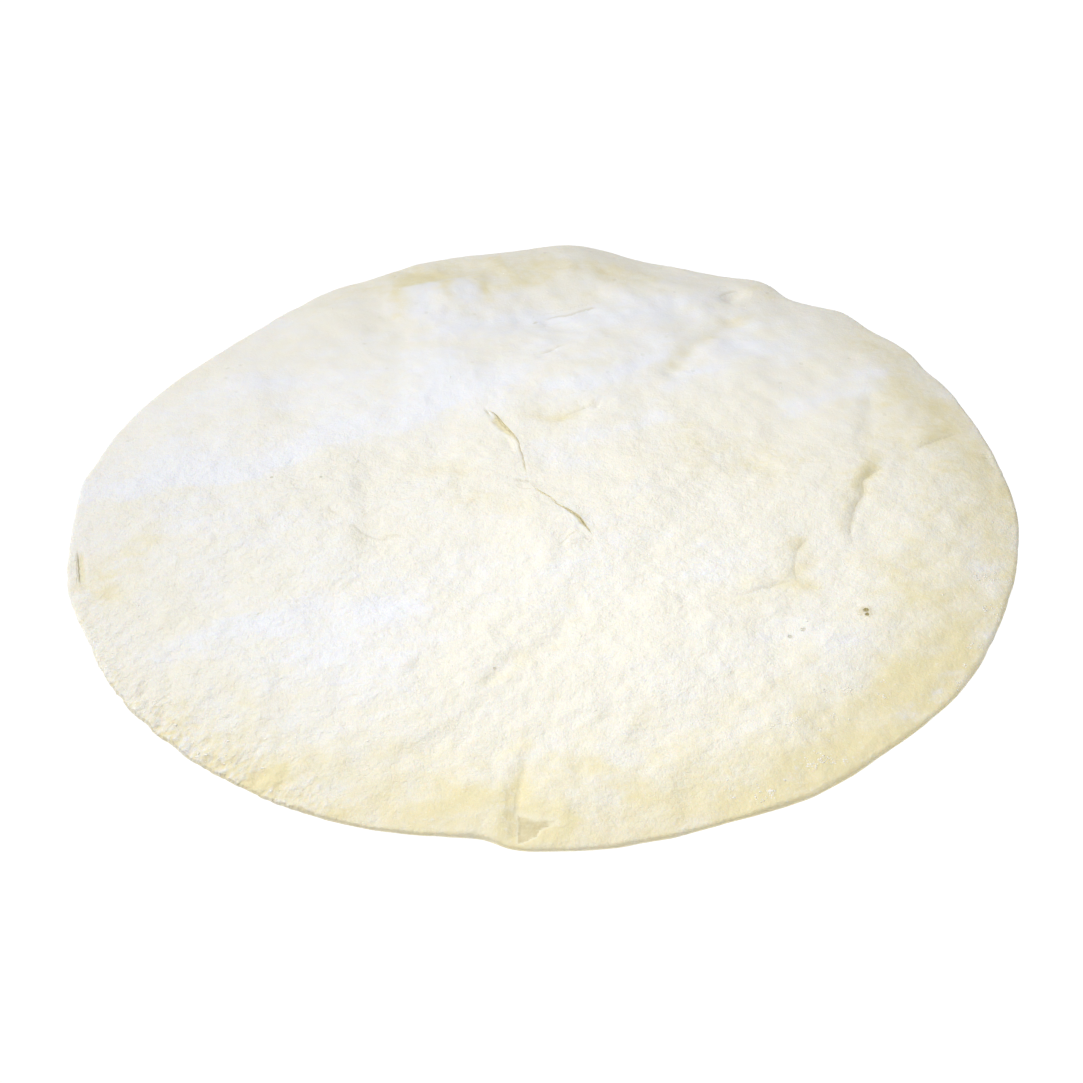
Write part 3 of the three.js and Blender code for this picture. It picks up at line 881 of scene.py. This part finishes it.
def crumb_lump():
    """Points and faces of an even crumb: a pole, two rings turned half a place apart, and a pole."""
    step = 2 * math.pi / CRUMB_RING
    rings = []
    for turn, height in ((0, -CRUMB_RING_HEIGHT), (0.5 * step, CRUMB_RING_HEIGHT)):
        angle = turn + step * np.arange(CRUMB_RING)
        x, y = CRUMB_RING_RADIUS * np.cos(angle), CRUMB_RING_RADIUS * np.sin(angle)
        rings.append(np.stack((x, y, np.full(CRUMB_RING, height)), axis=1))
    points = np.vstack(((0, 0, -1), *rings, (0, 0, 1)))
    low = 1 + np.arange(CRUMB_RING)
    after = np.roll(low, -1)
    high = low + CRUMB_RING
    high_after = after + CRUMB_RING
    bottom = np.zeros(CRUMB_RING, int)
    top = np.full(CRUMB_RING, CRUMB_POINTS - 1)
    corners = ((bottom, after, low), (low, after, high), (after, high_after, high), (high, high_after, top))
    return points, np.vstack([np.stack(three, axis=1) for three in corners])


def make_crumbs(shift):
    """Crumbs as small lumps: each is the even crumb, jittered, drawn out, turned and sunk in."""
    random = np.random.default_rng(CRUMB_SEED)
    x, y, size = crumb_places(random)
    z = open_tears(x, y, top_height(x, y))[2]
    lump, faces = crumb_lump()
    count = len(x)
    jitter = random.uniform(*CRUMB_UNEVEN, (count, CRUMB_POINTS, 1))
    shape = random.uniform(*CRUMB_UNEVEN, (count, 1, 3)) * CRUMB_SHAPE
    heading = np.radians(random.normal(*CRUMB_HEADINGS, count))[:, None]
    points = lump * jitter * shape * size[:, None, None]
    turned_x = points[..., 0] * np.cos(heading) - points[..., 1] * np.sin(heading)
    turned_y = points[..., 0] * np.sin(heading) + points[..., 1] * np.cos(heading)
    places = np.stack((turned_x + x[:, None] + shift[0], turned_y + y[:, None] + shift[1],
                       points[..., 2] + z[:, None] - CRUMB_SINK * size[:, None]), axis=-1)
    every = (faces[None] + CRUMB_POINTS * np.arange(count)[:, None, None]).reshape(-1, 3)
    return add_piece("flour_crumbs", places.reshape(-1, 3), every.tolist(), {})


class Socket:
    """An output of a node. Arithmetic on it adds Math nodes."""

    def __init__(self, finish, socket):
        self.finish = finish
        self.socket = socket

    def maths(self, operation, first, second):
        return self.finish.node("ShaderNodeMath", {"operation": operation}, {0: first, 1: second})

    def __add__(self, other):
        return self.maths("ADD", self, other)

    __radd__ = __add__

    def __sub__(self, other):
        return self.maths("SUBTRACT", self, other)

    def __rsub__(self, other):
        return self.maths("SUBTRACT", other, self)

    def __mul__(self, other):
        return self.maths("MULTIPLY", self, other)

    __rmul__ = __mul__


class Finish:
    """A material being built: node() adds a node, sets it up and links its inputs."""

    def __init__(self, name):
        self.material = bpy.data.materials.new(name)
        self.material.use_nodes = True
        self.tree = self.material.node_tree
        self.tree.nodes.clear()

    def node(self, kind, settings, inputs, output=0):
        made = self.tree.nodes.new(kind)
        for name, value in settings.items():
            setattr(made, name, value)
        for key, value in inputs.items():
            if isinstance(value, Socket):
                self.tree.links.new(value.socket, made.inputs[key])
            else:
                made.inputs[key].default_value = value
        return Socket(self, made.outputs[output]) if made.outputs else None

    def place(self):
        return self.node("ShaderNodeTexCoord", {}, {}, "Object")

    def drawn_place(self, heading, stretch):
        """Object coordinates turned to a heading in degrees and shortened along it."""
        return self.node("ShaderNodeMapping", {"vector_type": "TEXTURE"}, {
            "Vector": self.place(), "Rotation": (0, 0, math.radians(heading)), "Scale": (stretch, 1, 1)})

    def value(self, name):
        return self.node("ShaderNodeAttribute", {"attribute_name": name}, {}, "Fac")

    def grain(self, size, detail=2.0, place=None):
        """Noise round nought, about -0.3 to 0.3, with lumps of so many millimetres."""
        inputs = {"Vector": place or self.place(), "Scale": 1 / (size * MM), "Detail": detail,
                  "Roughness": 0.55}
        return self.node("ShaderNodeTexNoise", {}, inputs, "Fac") - 0.5

    def pits(self, size, share, widest):
        """One in scattered round pits: so many millimetres apart, in only a share of the cells."""
        inputs = {"Vector": self.place(), "Scale": 1 / (size * MM)}
        away = self.node("ShaderNodeTexVoronoi", {}, inputs, "Distance")
        colour = self.node("ShaderNodeTexVoronoi", {}, inputs, "Color")
        draw = self.node("ShaderNodeSeparateColor", {}, {"Color": colour}, "Red")
        return self.step(away, widest, 0.3 * widest) * self.step(draw, share, 0.5 * share)

    def near_top(self, x, y, radius, shift):
        """One at a place on the top, falling to nought at a radius in millimetres."""
        z = float(top_height(np.array(x), np.array(y)))
        middle = ((x + shift[0]) * MM, (y + shift[1]) * MM, z * MM)
        ends = {0: self.place(), 1: middle}
        away = self.node("ShaderNodeVectorMath", {"operation": "DISTANCE"}, ends, "Value")
        return self.step(away, radius * MM, 0.3 * radius * MM)

    def step(self, value, low, high):
        """Smooth step from 0 at low to 1 at high, which may be the lower of the two."""
        return self.node("ShaderNodeMapRange", {"interpolation_type": "SMOOTHSTEP"},
                         {"Value": value, "From Min": low, "From Max": high})

    def blend(self, share, first, second):
        """Mix of two colours by a share."""
        return self.node("ShaderNodeMix", {"data_type": "RGBA"}, {0: share, 6: first, 7: second}, 2)

    def finish(self, colour, roughness, height, distance, **constants):
        """Closes the material: a Principled shader with a bump, and constants on its own sockets."""
        normal = self.node("ShaderNodeBump", {}, {"Height": height, "Distance": distance, "Strength": 1.0})
        inputs = {"Base Color": colour, "Roughness": roughness, "Normal": normal}
        inputs.update({key.replace("_", " ").title(): value for key, value in constants.items()})
        shader = self.node("ShaderNodeBsdfPrincipled", {}, inputs)
        self.node("ShaderNodeOutputMaterial", {}, {"Surface": shader})
        return self.material


# Colours in linear light.
FLOUR_WHITE = (0.89, 0.902, 0.942, 1)
DOUGH_CREAM = (0.90, 0.873, 0.775, 1)
BARE_YELLOW = (0.85, 0.77, 0.485, 1)
RAW_YELLOW = (0.86, 0.805, 0.59, 1)
# Colour of the brown spot's stain, and of the tears' cavities and the pleat's pocket: wet raw dough, partly
# painted shade.
STAIN_AND_SHADE_OLIVE = (0.60, 0.51, 0.27, 1)
# Painted shade of the hair lines, partly bared raw dough.
LINE_SHADE_OLIVE = (0.56, 0.50, 0.33, 1)
CRUMB_WHITE = (0.93, 0.91, 0.86, 1)
PIT_OLIVE = (0.58, 0.56, 0.43, 1)
# Painted shade in the middle of the darkest hair lines.
LINE_DEEP_SHADE = (0.34, 0.29, 0.11, 1)
SPOT_BROWN = (0.30, 0.24, 0.07, 1)

# Grains of the dough's finish: size in millimetres and detail. Two are drawn out along their headings.
GRAINS = {
    "rubbed": (5.5, 3.0), "clouds": (17, 3.0), "speckle": (2.0, 3.0),
    "dust": (0.55, 2.0), "flakes": (1.3, 0.0), "patches": (8, 4.0),
    "rags": (0.9, 3.0), "line": (1.6, 2.0), "specks": (1.0, 2.0),
}
RUB_STRETCH = 3.2
FLAKE_STRETCH = 1.7

# Heights of bumps in metres, how light spreads inside the dough, and the painted glow that lifts the crumbs'
# shaded sides.
DOUGH_BUMP = 0.0007
CRUMB_BUMP = 0.0001
SPREAD_SHARE = 0.2
SPREAD_REACH = 0.0015
SPREAD_COLOURS = (1.0, 0.8, 0.5)
CRUMB_PAINTED_GLOW = 0.1

# Named pits in the top: place and radius.
PITS = {
    "right": (76.6, -64.2, 1.4),
    "right, beside": (72.5, -67, 1.2),
    "left": (-88.8, 9.2, 0.9),
    "left, inner": (-72.9, 9.2, 0.8),
    "front": (-15.4, -81.6, 0.8),
}

# A brown spot: the middles and radii of its stain and of its two dark cores.
SPOT_STAIN = (96.2, -55.6, 4.2)
SPOT_CORES = ((96.4, -55.1, 1.5), (96.6, -57.0, 1.1))


def dough_finish(shift):
    """Cream dough: whiter where floured, yellower where bare, raw in the tears, with painted shade in creases
    and cracks.
    """
    made = Finish("floured_dough")
    flour, bare_and_shade, raw = made.value("flour"), made.value("bare_and_shade"), made.value("raw")
    even, flaky = made.value("even"), made.value("flaky")
    rubbed = made.grain(*GRAINS["rubbed"], made.drawn_place(RUB_HEADING, RUB_STRETCH))
    clouds = made.grain(*GRAINS["clouds"])
    speckle = made.grain(*GRAINS["speckle"])
    dust = made.grain(*GRAINS["dust"])
    flakes = made.grain(*GRAINS["flakes"], made.drawn_place(FLAKE_HEADING, FLAKE_STRETCH)) * flaky
    floury = flour + rubbed + clouds * 0.85 + speckle * (0.8 - even * 0.4)
    floury = made.step(floury + dust * 0.25 + flakes * 0.9, -0.1, 1.0)
    patchy = made.grain(*GRAINS["patches"])
    yellow = made.step(bare_and_shade + patchy * 1.1 + speckle * 0.6 - floury * 0.25 - flakes * 1.5, 0.0, 1.05)
    torn = made.step(raw, 0.15, 1.0)
    ragged = made.grain(*GRAINS["rags"])
    pits = made.pits(4.2, 0.12, 0.26) * 0.3
    for x, y, radius in PITS.values():
        pits = pits + made.step(made.near_top(x, y, radius, shift) + ragged * 1.2, 0.4, 0.9)
    # Hair lines: painted shade in cracks, slits and under the tears' lips, at the steps' feet, and a painted
    # contact shadow along the edge.
    left = made.value("line_left") + made.grain(*GRAINS["line"]) * 0.9
    line = made.value("line_shade") * made.step(left, 0.4, 0.0) * made.step(left, -1.5, 0.0)
    colour = made.blend(yellow, DOUGH_CREAM, BARE_YELLOW)
    specks = made.step(made.grain(*GRAINS["specks"]), 0.1, 0.2)
    colour = made.blend(specks * yellow * 0.35, colour, CRUMB_WHITE)
    colour = made.blend(floury, colour, FLOUR_WHITE)
    pores = made.step(ragged, 0.12, 0.28) * (1 - even) * 0.11
    colour = made.blend(pores, colour, PIT_OLIVE)
    colour = made.blend(pits * 0.7, colour, PIT_OLIVE)
    colour = made.blend(torn, colour, RAW_YELLOW)
    # Where the raw value runs high, in the tears' cavities and the pleat's pocket: wet raw dough, partly
    # painted shade.
    colour = made.blend(made.step(raw + patchy * 0.6 + ragged * 0.4, 1.15, 2.0), colour, STAIN_AND_SHADE_OLIVE)
    colour = made.blend(line, colour, LINE_SHADE_OLIVE)
    colour = made.blend(made.step(line, 0.6, 1.2), colour, LINE_DEEP_SHADE)
    stain = made.step(made.near_top(*SPOT_STAIN, shift) + ragged * 1.6, 0.3, 1.0)
    colour = made.blend(stain * 0.4, colour, STAIN_AND_SHADE_OLIVE)
    core = 0
    for x, y, radius in SPOT_CORES:
        core = core + made.step(made.near_top(x, y, radius, shift) + ragged * 1.4, 0.3, 1.1)
    colour = made.blend(core, colour, SPOT_BROWN)
    powder = (speckle * 0.85 + dust * 0.35) * (1 - yellow * 0.4) * (1 - even * 0.75)
    height = powder + flakes - pits * 0.3 - line * 0.25 - core * 0.3
    return made.finish(colour, 0.95 - yellow * 0.3, height, DOUGH_BUMP, subsurface_weight=SPREAD_SHARE,
                       subsurface_scale=SPREAD_REACH, subsurface_radius=SPREAD_COLOURS)


def crumb_finish():
    """Dry flour: white with a faint cream mottle, and a faint painted glow that lifts its shaded sides."""
    made = Finish("loose_flour")
    mottle = made.grain(3.0, 2.0)
    colour = made.blend(made.step(mottle, -0.25, 0.25), CRUMB_WHITE, DOUGH_CREAM)
    return made.finish(colour, 0.95, made.grain(0.3, 2.0), CRUMB_BUMP,
                       emission_color=CRUMB_WHITE, emission_strength=CRUMB_PAINTED_GLOW)


FLOOR_PALE = (0.9, 0.9, 0.9, 1)
FLOOR_GLOW = 0.5


def make_floor():
    """A wide floor just below the dough: pure white to the camera, and a pale glow to the rim."""
    half = 3.0
    below = -0.0003
    corners = [(-half, -half, below), (half, -half, below), (half, half, below), (-half, half, below)]
    mesh = bpy.data.meshes.new("floor")
    mesh.from_pydata(corners, [], [(0, 1, 2, 3)])
    floor = bpy.data.objects.new("floor", mesh)
    bpy.context.scene.collection.objects.link(floor)
    paper = Finish("white_floor")
    pale = paper.node("ShaderNodeBsdfPrincipled", {}, {
        "Base Color": FLOOR_PALE, "Roughness": 0.9,
        "Emission Color": (1, 1, 1, 1), "Emission Strength": FLOOR_GLOW})
    white = paper.node("ShaderNodeEmission", {}, {"Color": (1, 1, 1, 1), "Strength": 1.05})
    seen = paper.node("ShaderNodeLightPath", {}, {}, "Is Camera Ray")
    shader = paper.node("ShaderNodeMixShader", {}, {0: seen, 1: pale, 2: white})
    paper.node("ShaderNodeOutputMaterial", {}, {"Surface": shader})
    mesh.materials.append(paper.material)


def aim(piece, place, target):
    """Puts a camera or lamp at a place, looking at a target."""
    piece.location = place
    toward = np.array(target) - np.array(place)
    level = math.hypot(toward[0], toward[1])
    piece.rotation_euler = (math.atan2(level, -toward[2]), 0, math.atan2(-toward[0], toward[1]))


# Camera, with the angle, distance in metres and lens that put the round where the photograph has it. Its
# target is a place on the floor in millimetres.
CAMERA_RISE = math.radians(39.41)
CAMERA_AWAY = 0.760
CAMERA_LENS = 79.835
CAMERA_TARGET = np.array((-1.74, -15.83))


def make_camera(shift):
    """The camera, rising from its target towards the near side."""
    camera = bpy.data.objects.new("camera", bpy.data.cameras.new("camera"))
    camera.data.sensor_width = 36.0
    camera.data.lens = CAMERA_LENS
    target = np.append((CAMERA_TARGET + shift) * MM, 0)
    place = target + CAMERA_AWAY * np.array((0, -math.cos(CAMERA_RISE), math.sin(CAMERA_RISE)))
    aim(camera, place, target)
    bpy.context.scene.collection.objects.link(camera)
    bpy.context.scene.camera = camera


# Soft round lamps: place, where it aims, width and watts.
LAMPS = {
    "left_softbox": ((-1.75, 0.25, 1.05), (0, 0, 0), 0.90, 20.3),
    "overhead_softbox": ((0.010, -0.073, 0.35), (0.010, -0.073, 0), 0.25, 0.848),
}
ROOM_GLOW = 0.24


def make_light():
    """A white room with a soft lamp to the left and another above the near half."""
    scene = bpy.context.scene
    scene.view_settings.view_transform = "Standard"
    world = bpy.data.worlds.new("white_room")
    world.use_nodes = True
    background = world.node_tree.nodes["Background"]
    background.inputs["Color"].default_value = (1.0, 1.0, 1.0, 1)
    background.inputs["Strength"].default_value = ROOM_GLOW
    scene.world = world
    for name, (place, target, width, watts) in LAMPS.items():
        lamp = bpy.data.objects.new(name, bpy.data.lights.new(name, "AREA"))
        lamp.data.shape = "DISK"
        lamp.data.size = width
        lamp.data.energy = watts
        lamp.visible_camera = False
        aim(lamp, place, target)
        scene.collection.objects.link(lamp)


def outline_shift():
    """From the outline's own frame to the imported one: the outline's box goes to the middle of the node's."""
    angle = np.linspace(-math.pi, math.pi, 7201)
    x = outline(angle) * np.cos(angle)
    y = outline(angle) * np.sin(angle)
    low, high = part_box("dough_disc")
    return np.array((0.5 * (low.x + high.x) / MM - 0.5 * (x.min() + x.max()),
                     0.5 * (low.y + high.y) / MM - 0.5 * (y.min() + y.max())))


shift = outline_shift()
make_camera(shift)
make_light()
make_floor()
dough = make_dough(shift)
dough.data.materials.append(dough_finish(shift))
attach(dough, "root")
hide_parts("dough_disc")
crumbs = make_crumbs(shift)
crumbs.data.materials.append(crumb_finish())
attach(crumbs, "root")
